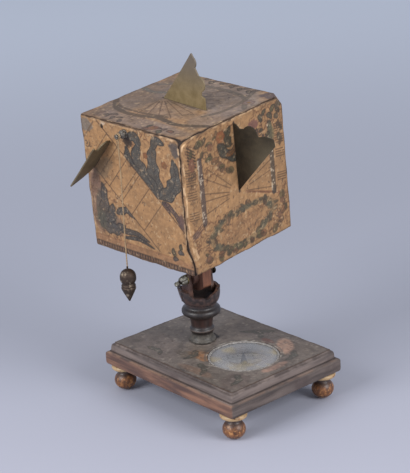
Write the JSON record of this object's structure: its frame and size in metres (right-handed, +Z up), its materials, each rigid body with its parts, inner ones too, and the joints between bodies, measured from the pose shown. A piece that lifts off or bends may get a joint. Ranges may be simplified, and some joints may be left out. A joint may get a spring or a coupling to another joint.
{
  "type": "polyhedral sundial",
  "caption": "Wooden cube with a paper dial and a brass gnomon on each upper face, tilting on a hinged stem over a moulded base with an inset compass and ball feet.",
  "frame": {"origin": "middle of the base in the plane of the feet's soles", "axes": "+Z up, +X to the dial's north (the compass side of the base), +Y to its west; the plumb line hangs on the -Y face"},
  "size_m": [0.1307, 0.099, 0.1965],
  "materials": {
    "base_wood": "stained and waxed hardwood, worn along the mouldings",
    "base_print": "printed paper, hand coloured and browned, pasted down and varnished",
    "foot_wood": "turned fruitwood, polished, with dark turned grooves",
    "card": "printed compass card",
    "blued_steel": "blued steel",
    "pin_steel": "drawn steel",
    "old_glass": "thin old glass",
    "ring_paper": "pale paper-bound ring",
    "column_wood": "turned hardwood, dark polish",
    "stem_wood": "red-brown hardwood, worn bare",
    "block_wood": "limewood, darkened",
    "brass": "cast and filed brass, old and dull",
    "plate_brass": "sheet brass, olive patina",
    "washer_leather": "hard dark leather",
    "dial_print": "printed paper, hand coloured and browned, pasted down and varnished",
    "peg_brass": "turned brass, grey with age",
    "thread": "twisted linen thread",
    "bob_brass": "turned brass, dark patina with bright rubbed spots"
  },
  "bodies": {
    "stand": {"base_board": "base_wood", "base_paper": "base_print", "foot_north_east": "foot_wood", "foot_north_west": "foot_wood", "foot_south_east": "foot_wood", "foot_south_west": "foot_wood", "compass_card": "card", "compass_pivot": "pin_steel", "compass_glass": "old_glass", "compass_ring": "ring_paper", "column": "column_wood", "hinge_bolt": "brass", "bolt_washer": "brass", "friction_washers": "washer_leather"},
    "needle": {"compass_needle": "blued_steel", "needle_cap": "brass"},
    "nut": {"wing_nut": "brass"},
    "block": {"tongue": "stem_wood", "cube_block": "block_wood", "paper_top": "dial_print", "paper_north": "dial_print", "paper_east": "dial_print", "paper_south": "dial_print", "paper_west": "dial_print", "gnomon_top": "plate_brass", "gnomon_north": "plate_brass", "gnomon_east": "plate_brass", "gnomon_south": "plate_brass", "gnomon_west": "plate_brass", "plumb_peg": "peg_brass"},
    "loop": {"thread_loop": "thread"},
    "plumb": {"plumb_thread": "thread", "plumb_bob": "bob_brass"}
  },
  "joints": [
    {"name": "block_tilt", "type": "hinge", "parent": "stand", "child": "block", "pos_m": [-0.0152, 0, 0.0671], "axis": [0, 1, 0], "range_deg": [-30, 30]},
    {"name": "wing_nut_turn", "type": "hinge", "parent": "stand", "child": "nut", "pos_m": [-0.0152, -0.012, 0.0671], "axis": [0, -1, 0], "range_deg": [0, 180]},
    {"name": "needle_spin", "type": "hinge", "parent": "stand", "child": "needle", "pos_m": [0.0191, -0.0005, 0.0265], "axis": [0, 0, 1], "continuous": true},
    {"name": "plumb_swing_ns", "type": "hinge", "parent": "block", "child": "loop", "pos_m": [-0.01542, -0.04962, 0.159], "axis": [0, 1, 0], "range_deg": [-30, 30]},
    {"name": "plumb_swing_ew", "type": "hinge", "parent": "loop", "child": "plumb", "pos_m": [-0.01542, -0.04962, 0.15728], "axis": [1, 0, 0], "range_deg": [-30, 3]}
  ],
  "couplings": [
    {"joint": "plumb_swing_ns", "follows": "block_tilt", "ratio": -1}
  ]
}
